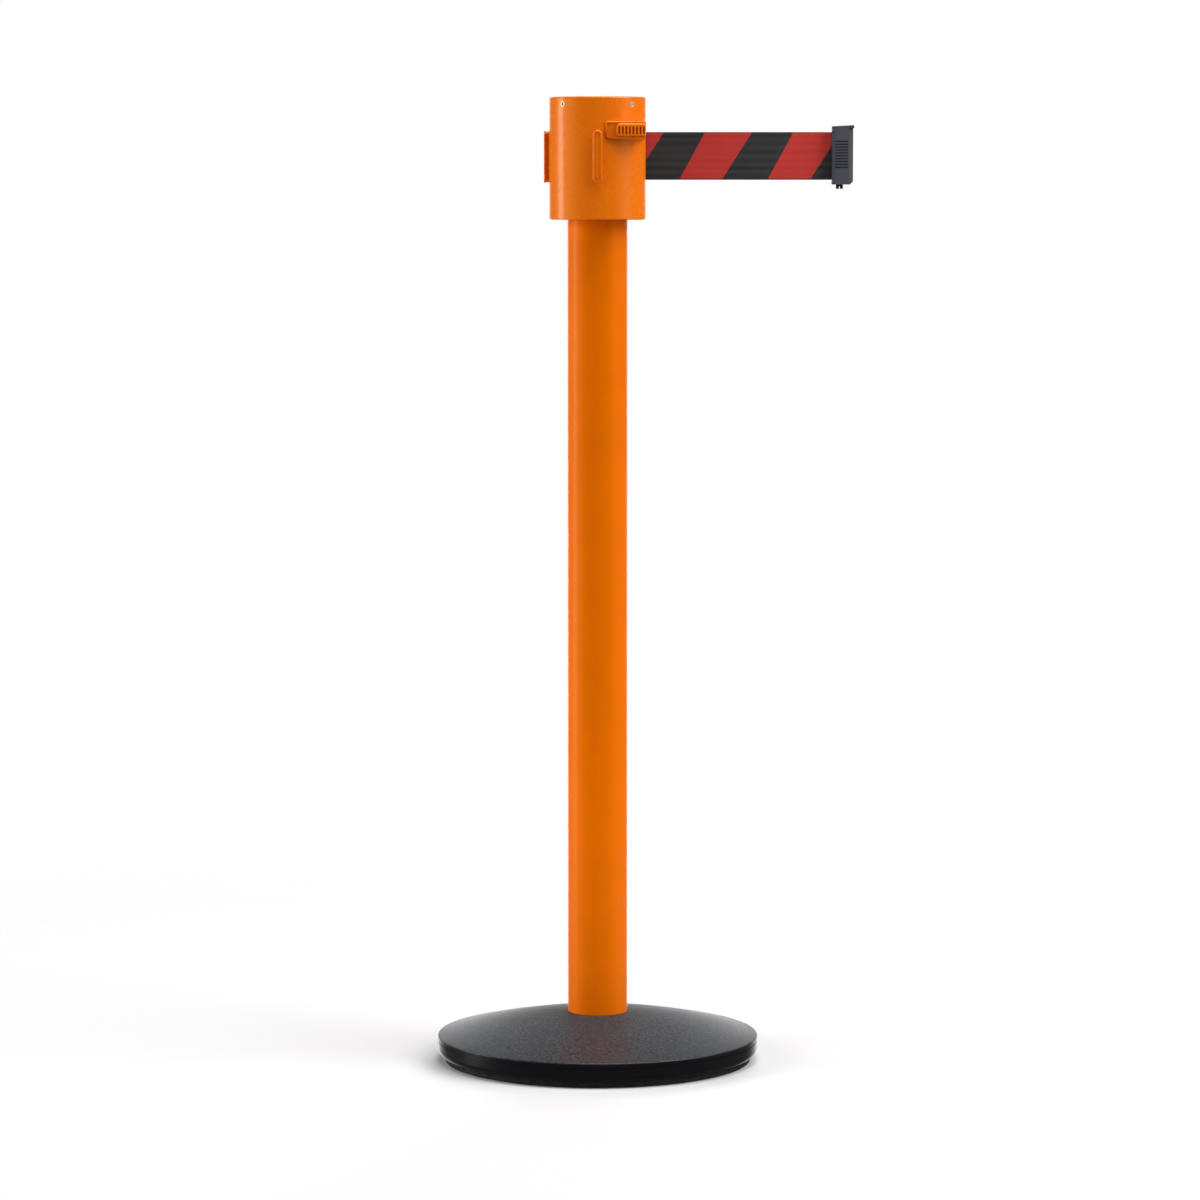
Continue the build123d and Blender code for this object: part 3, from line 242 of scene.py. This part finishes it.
def plain_plastic(name, colour, roughness, grain=0.0006, specular=0.5):
    """Moulded plastic in one colour with spark-eroded grain."""
    s = Surface(name, colour, roughness, specular=specular)
    s.tint(s.noise(0.01, 2), 0.08)
    s.polish(s.noise(0.002), roughness - 0.06, roughness + 0.08)
    s.relief(s.noise(grain, 2), 0.00003)
    return s


def clip_plastic(grip_middle=0.0100, grip_half=0.0066, painted_ridge_brightness=1.7, painted_ridge_light_share=0.35, painted_groove_shade=0.45):
    """The clip's slate plastic, with painted light on the ridges of its grip and painted shade in its grip
    grooves.

    The grip is a band across the clip, measured from the clip's inner edge.
    """
    s = plain_plastic("finish_slate_plastic", (0.060, 0.063, 0.076), 0.48, specular=0.28)
    low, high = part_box("clip_front_shell")
    xyz = s.axes()
    depth = s.math("SUBTRACT", max(abs(low.y), abs(high.y)), s.math("ABSOLUTE", xyz["Y"]))
    in_groove = s.ramp(depth, 0.0003, 0.0009, 0.0, 1.0)
    from_grip = s.math("ABSOLUTE", s.math("SUBTRACT", xyz["X"], low.x + grip_middle))
    on_grip = s.math("LESS_THAN", from_grip, grip_half)
    # painted light on the grip's ridges, then painted shade in its grooves
    plain = s.mix(s.math("MULTIPLY", on_grip, painted_ridge_light_share), s.colour, shade(s.colour, painted_ridge_brightness))
    s.paint(s.mix(s.math("MULTIPLY", in_groove, on_grip), plain, shade(s.colour, painted_groove_shade)))
    return s.material


def cast_iron():
    """Sand-cast iron under a thin black primer, rusty in its pores."""
    s = Surface("finish_cast_iron", (0.060, 0.060, 0.063), 0.68, metallic=0.35)
    rust = s.spread(s.noise(0.02, 4), 0.0, 0.55)
    s.paint(s.mix(rust, (0.055, 0.056, 0.060), (0.11, 0.062, 0.038)))
    s.polish(s.noise(0.003), 0.55, 0.8)
    s.relief(s.noise(0.0025, 4), 0.0004)
    return s.material


def rubber():
    """Black moulded rubber with a dusty bloom."""
    s = Surface("finish_rubber", (0.030, 0.030, 0.031), 0.78, specular=0.35)
    s.paint(s.mix(s.spread(s.noise(0.008, 4), 0, 0.6), (0.010, 0.010, 0.011), (0.030, 0.030, 0.029)))
    s.relief(s.noise(0.0009, 3), 0.00006)
    return s.material


def metal(name, colour, roughness, stretch=(1, 1, 1), grain=0.0012, depth=0.00001):
    """Bare or plated metal, brushed along the axis that stretch shortens."""
    s = Surface(name, colour, roughness, metallic=1.0)
    s.tint(s.noise(0.006, 3), 0.10)
    s.polish(s.noise(grain, 3, stretch), roughness - 0.08, roughness + 0.12)
    s.relief(s.noise(grain, 2, stretch), depth)
    return s.material


# ---------------------------------------------------------------- webbing
STRIPE_PERIOD = 0.093
STRIPE_START = 0.100  # where a red stripe begins at mid-height, measured from the tube's axis
RED_SHARE = 0.507
LEAN_IN, LEAN_OUT = 0.546, 0.64  # slope of a red stripe's first and second edge
strap_low, strap_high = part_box("belt_strap")
BELT_MIDDLE = (strap_low.z + strap_high.z) / 2
BELT_WIDTH = strap_high.z - strap_low.z
RIB_PITCH = BELT_WIDTH / 6  # six shallow ribs run along the tape
SELVEDGE = 0.0011


def webbing():
    """Woven polyester tape with diagonal red and black stripes."""
    s = Surface("finish_webbing", (0.42, 0.03, 0.026), 0.62, specular=0.3, sheen=0.15)
    xyz = s.axes()
    up = s.math("SUBTRACT", xyz["Z"], BELT_MIDDLE)
    along = s.math("MULTIPLY_ADD", up, -LEAN_IN, xyz["X"])
    # a little of the weave's raggedness in the stripes' edges
    ragged = s.math("MULTIPLY_ADD", s.noise(0.0009, 1), 0.0009, along)
    turn = s.math("DIVIDE", s.math("SUBTRACT", ragged, STRIPE_START), STRIPE_PERIOD)
    past_edge = s.math("FRACT", turn)
    red_width = s.math("MULTIPLY_ADD", up, (LEAN_OUT - LEAN_IN) / STRIPE_PERIOD, RED_SHARE)
    is_red = s.math("LESS_THAN", past_edge, red_width)
    # weft picks across the tape and warp ends along it
    warp = s.bands(0.00125, "Z")
    weft = s.bands(0.0009, "X")
    weave = s.math("MULTIPLY", warp, s.math("MULTIPLY_ADD", weft, 0.55, 0.45))
    thread = s.spread(s.noise(0.0034, 2, (0.012, 1, 1)), 0, 1)
    rib = s.bands(RIB_PITCH, "Z")
    streak = s.math("MULTIPLY_ADD", rib, 0.6, s.math("MULTIPLY", thread, 0.4))
    black = s.mix(streak, (0.010, 0.010, 0.0115), (0.044, 0.044, 0.047))
    red = s.mix(streak, (0.50, 0.026, 0.022), (0.60, 0.034, 0.024))
    dyed = s.mix(is_red, black, red)
    raised = s.mix(is_red, (0.042, 0.042, 0.045), (0.70, 0.055, 0.042))
    cloth = s.mix(s.math("MULTIPLY", weave, 0.55), dyed, raised)
    # the selvedges are darker
    off_middle = s.math("ABSOLUTE", up)
    selvedge = s.math("GREATER_THAN", off_middle, BELT_WIDTH / 2 - SELVEDGE)
    s.paint(s.mix(s.math("MULTIPLY", selvedge, 0.6), cloth, (0.008, 0.008, 0.009)))
    s.relief(weave, 0.00016)
    s.relief(streak, 0.00008)
    return s.material


finishes = {
    "orange_paint": orange_paint(),
    "orange_plastic": orange_plastic().material,
    "base_plastic": base_plastic(),
    "black_plastic": plain_plastic("finish_black_plastic", (0.014, 0.014, 0.015), 0.45).material,
    "slate_plastic": clip_plastic(),
    "white_plastic": plain_plastic("finish_white_plastic", (0.70, 0.68, 0.62), 0.38, 0.0015).material,
    "cast_iron": cast_iron(),
    "rubber": rubber(),
    "zinc": metal("finish_zinc", (0.66, 0.62, 0.52), 0.34),
    "zinc_sheet": metal("finish_zinc_sheet", (0.60, 0.60, 0.60), 0.38, (0.05, 1, 1)),
    "spring_steel": metal("finish_spring_steel", (0.30, 0.30, 0.33), 0.28, (1, 1, 0.05)),
    "die_cast": metal("finish_die_cast", (0.52, 0.52, 0.53), 0.48, grain=0.002, depth=0.00005),
    "webbing": webbing(),
}
own_finish = {
    "lock_slider": ribbed_orange(),
    "cap_screws": metal("finish_yellow_zinc", (0.98, 0.92, 0.70), 0.50),
}
slot_of = {part["node"]: part["material_slot"] for part in frame["record"]["subparts"]}
for node_name, node in frame["nodes"].items():
    for index in range(len(node.data.materials)):
        node.data.materials[index] = own_finish.get(node_name, finishes[slot_of[node_name]])


# ---------------------------------------------------------------- mesh helpers
def finish_mesh(name, mesh, slot, body=None):
    """Puts a mesh in the scene with its material, smooth where its faces turn gently."""
    shape = bmesh.new()
    shape.from_mesh(mesh)
    bmesh.ops.recalc_face_normals(shape, faces=shape.faces)
    shape.to_mesh(mesh)
    shape.free()
    mesh.polygons.foreach_set("use_smooth", [True] * len(mesh.polygons))
    mesh.set_sharp_from_angle(angle=radians(32))
    mesh.materials.append(finishes[slot])
    piece = bpy.data.objects.new(name, mesh)
    bpy.context.scene.collection.objects.link(piece)
    if body:
        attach(piece, body)
    return piece


def skin(name, points, count):
    """A closed mesh over rings of count points each, capped at both ends."""
    rings = len(points) // count
    faces = [tuple(range(count)), tuple(range((rings - 1) * count, rings * count))]
    for first in range(0, (rings - 1) * count, count):
        for corner in range(count):
            here, after = first + corner, first + (corner + 1) % count
            faces.append((here, after, after + count, here + count))
    mesh = bpy.data.meshes.new(name)
    mesh.from_pydata(points, [], faces)
    return mesh


def ribbon(name, path, section):
    """A tape along a path in plan.

    path holds (x, y, outward normal), and section the tape's closed (offset, z) outline.
    """
    points = []
    for x, y, normal in path:
        points += [(x + normal.x * offset, y + normal.y * offset, z) for offset, z in section]
    return skin(name, points, len(section))


def tape_section(thickness, steps, rib_depth, edge_from=0.955):
    """Outline of the tape: shallow ribs along its length and thinner, rounded edges.

    The edges round off from edge_from of the half width outwards.
    """
    front, back = [], []
    for step in range(steps + 1):
        across = -1 + 2 * step / steps
        z = BELT_MIDDLE + across * BELT_WIDTH / 2
        rib = rib_depth * (0.5 + 0.5 * cos(tau * (z - BELT_MIDDLE) / RIB_PITCH))
        rounding = max(0.0, (abs(across) - edge_from) / (1 - edge_from))
        half = (thickness / 2 - rib) * (1 - 0.75 * rounding**2)
        front.append((-half, z))
        back.append((half, z))
    return front + back[::-1]


# ---------------------------------------------------------------- belt
TAPE = 0.95 * MM
WOUND_LENGTH = 3.15  # metres on the roll: a 3.4 m belt less the 0.25 m that is off it
WOUND_TAPE = 0.92 * MM  # wound tight, the webbing lies a little thinner
roll_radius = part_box("belt_roll")[1].x
roller_low, roller_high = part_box("guide_roller_rear")
pin_low, pin_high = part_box("belt_pin")
clip_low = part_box("clip_front_shell")[0]
roller_x, roller_y = (roller_low.x + roller_high.x) / 2, (roller_low.y + roller_high.y) / 2
pin_x, pin_radius = (pin_low.x + pin_high.x) / 2, (pin_high.x - pin_low.x) / 2
lead_radius = roll_radius + 0.55 * MM
lead_angle = atan2(roller_y, roller_x) + acos((lead_radius + roller_y) / hypot(roller_x, roller_y))


def around(centre_x, centre_y, radius, angle, sign=1):
    """A path point on a circle, with its normal away from the centre, or towards it if sign is -1."""
    out = Vector((cos(angle), sin(angle)))
    return centre_x + radius * out.x, centre_y + radius * out.y, out * sign


def belt_path(bend_steps=10, loop_steps=22, loop_start=radians(-140), loop_sweep=radians(290)):
    """From the roll, round the rear roller, straight to the clip and in a sewn loop round its pin."""
    path = [around(0, 0, lead_radius, lead_angle)]
    for step in range(bend_steps + 1):
        angle = lead_angle + pi + (pi / 2 - lead_angle) * step / bend_steps
        path.append(around(roller_x, roller_y, roller_y, angle, -1))
    # just inside the clip the strap opens into its loop
    path.append((clip_low.x + 0.4 * MM, 0.0, Vector((0, 1))))
    loop_radius = pin_radius + 0.62 * MM
    for step in range(loop_steps + 1):
        angle = loop_start + loop_sweep * step / loop_steps
        path.append(around(pin_x, 0, loop_radius, angle, -1))
    return path


route = belt_path()
section = tape_section(TAPE, 60, 0.07 * MM)
belt = finish_mesh("belt_webbing", ribbon("belt_webbing", route, section), "webbing")
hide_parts("belt_strap", "belt_lead")
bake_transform(belt)


def winding(steps_per_turn=44):
    """The tape on the spool, one turn on the next, its outer end where it leaves the roll."""
    inner, outer = 20.7 * MM, roll_radius - 0.5 * MM  # radii of the first and last layer's middle
    turns = WOUND_LENGTH / (pi * (inner + outer))
    steps = int(turns * steps_per_turn)
    path = []
    for step in range(steps + 1):
        share = step / steps
        angle = lead_angle + tau * turns * (1 - share)
        path.append(around(0, 0, inner + (outer - inner) * share, angle))
    return path


wound = winding()
wound_section = tape_section(WOUND_TAPE, 6, 0.0)
roll = finish_mesh("belt_winding", ribbon("belt_winding", wound, wound_section), "webbing", "spool")
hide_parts("belt_roll")


# ---------------------------------------------------------------- button's return spring
spring_low, spring_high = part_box("button_spring")


def spring_coil(wire=0.25 * MM, turns=4, steps=28, sides=8):
    """Coiled wire of radius wire, standing on the button's fork; steps is per turn."""
    middle = (spring_low + spring_high) / 2
    radius = spring_high.x - middle.x - wire
    rise = spring_high.z - spring_low.z - 2 * wire
    points = []
    for step in range(turns * steps + 1):
        out = Vector((cos(tau * step / steps), sin(tau * step / steps), 0))
        height = spring_low.z + wire + rise * step / (turns * steps)
        centre = Vector((middle.x, middle.y, height)) + out * radius
        for side in range(sides):
            angle = tau * side / sides
            points.append(centre + (out * cos(angle) + Vector((0, 0, sin(angle)))) * wire)
    return skin("return_spring", points, sides)


spring = finish_mesh("return_spring", spring_coil(), "spring_steel", "belt_end")
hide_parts("button_spring")
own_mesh(spring)


# ---------------------------------------------------------------- studio
def stage_floor(solid=0.35, end=1.7):
    """A plain pale floor, opaque within the radius solid and faded out at the radius end."""
    mesh = bpy.data.meshes.new("studio_floor")
    shape = bmesh.new()
    bmesh.ops.create_circle(shape, cap_ends=True, segments=96, radius=end)
    shape.to_mesh(mesh)
    shape.free()
    floor = bpy.data.objects.new("studio_floor", mesh)
    bpy.context.scene.collection.objects.link(floor)
    material = bpy.data.materials.new("studio_floor")
    material.use_nodes = True
    tree = material.node_tree
    shader = tree.nodes["Principled BSDF"]
    shader.inputs["Base Color"].default_value = (0.66, 0.66, 0.66, 1)
    shader.inputs["Roughness"].default_value = 0.9
    shader.inputs["Specular IOR Level"].default_value = 0.1
    place = add_node(tree, "ShaderNodeTexCoord").outputs["Object"]
    away = add_node(tree, "ShaderNodeVectorMath", {0: place}, operation="LENGTH").outputs["Value"]
    inputs = {0: away, 1: solid, 2: end, 3: 1.0, 4: 0.0}
    fade = add_node(tree, "ShaderNodeMapRange", inputs, interpolation_type="SMOOTHSTEP").outputs[0]
    # one-sided, so that a view from below shows the underside
    below = add_node(tree, "ShaderNodeNewGeometry").outputs["Backfacing"]
    above = add_node(tree, "ShaderNodeMath", {0: 1.0, 1: below}, operation="SUBTRACT").outputs[0]
    shown = add_node(tree, "ShaderNodeMath", {0: fade, 1: above}, operation="MULTIPLY").outputs[0]
    tree.links.new(shown, shader.inputs["Alpha"])
    mesh.materials.append(material)
    floor.visible_glossy = False


def world_light(sky=0.10):
    """White to the camera and a soft sky for diffuse light.

    Reflections see a dark room with a pale wall behind the post, brightest low down.
    """
    world = bpy.data.worlds.new("studio")
    bpy.context.scene.world = world
    world.use_nodes = True
    tree = world.node_tree
    background = tree.nodes["Background"]
    direction = add_node(tree, "ShaderNodeTexCoord").outputs["Generated"]
    axes = add_node(tree, "ShaderNodeSeparateXYZ", {0: direction}).outputs
    inputs = {0: axes["Y"], 1: 0.84, 2: 0.98, 3: 0.03, 4: 1.0}
    behind = add_node(tree, "ShaderNodeMapRange", inputs).outputs[0]
    inputs = {0: axes["Z"], 1: 0.1, 2: 0.5, 3: 3.4, 4: 0.12}
    wall = add_node(tree, "ShaderNodeMapRange", inputs).outputs[0]
    room = add_node(tree, "ShaderNodeMath", {0: behind, 1: wall}, operation="MULTIPLY").outputs[0]
    path = add_node(tree, "ShaderNodeLightPath").outputs
    inputs = {0: path["Is Glossy Ray"], 2: sky, 3: room}
    unseen = add_node(tree, "ShaderNodeMix", inputs, data_type="FLOAT").outputs[0]
    inputs = {0: path["Is Camera Ray"], 2: unseen, 3: 1.0}
    strength = add_node(tree, "ShaderNodeMix", inputs, data_type="FLOAT").outputs[0]
    tree.links.new(strength, background.inputs["Strength"])
    background.inputs["Color"].default_value = (1, 1, 1, 1)


def softbox(name, place, width, height, power, glossy=True):
    """A rectangular area light aimed at the post's middle and unseen by the camera.

    One that isn't glossy is left out of reflections too.
    """
    light = bpy.data.lights.new(name, "AREA")
    light.shape = "RECTANGLE"
    light.size, light.size_y = width, height
    light.energy = power
    lamp = bpy.data.objects.new(name, light)
    lamp.location = place
    lamp.rotation_euler = (Vector((0, 0, 0.6)) - Vector(place)).to_track_quat("-Z", "Y").to_euler()
    lamp.visible_camera = False
    lamp.visible_glossy = glossy
    bpy.context.scene.collection.objects.link(lamp)


def camera():
    """Eye level a little below the top of the post, nearly five metres in front of it."""
    data = bpy.data.cameras.new("camera")
    data.sensor_width = 36
    data.lens = 135
    eye = bpy.data.objects.new("camera", data)
    eye.location = (0.0026, -4.76, 0.927)
    target = Vector((0.0026, 0, 0.493))
    eye.rotation_euler = (target - eye.location).to_track_quat("-Z", "Y").to_euler()
    bpy.context.scene.collection.objects.link(eye)
    bpy.context.scene.camera = eye


stage_floor()
world_light()
softbox("softbox_left", (-3.4, -1.3, 1.2), 1.6, 2.6, 84, glossy=False)
softbox("softbox_strip", (-2.4, 0.25, 0.9), 0.5, 2.2, 22)
softbox("softbox_right", (3.4, -1.2, 1.3), 1.6, 2.6, 46, glossy=False)
softbox("softbox_high", (3.5, -1.1, 4.0), 3.2, 3.2, 215)
softbox("softbox_top", (0.2, -0.5, 3.6), 1.6, 1.6, 60)
softbox("softbox_back", (0.6, 3.6, 1.9), 2.0, 2.0, 104, glossy=False)
camera()
bpy.context.scene.view_settings.view_transform = "Standard"
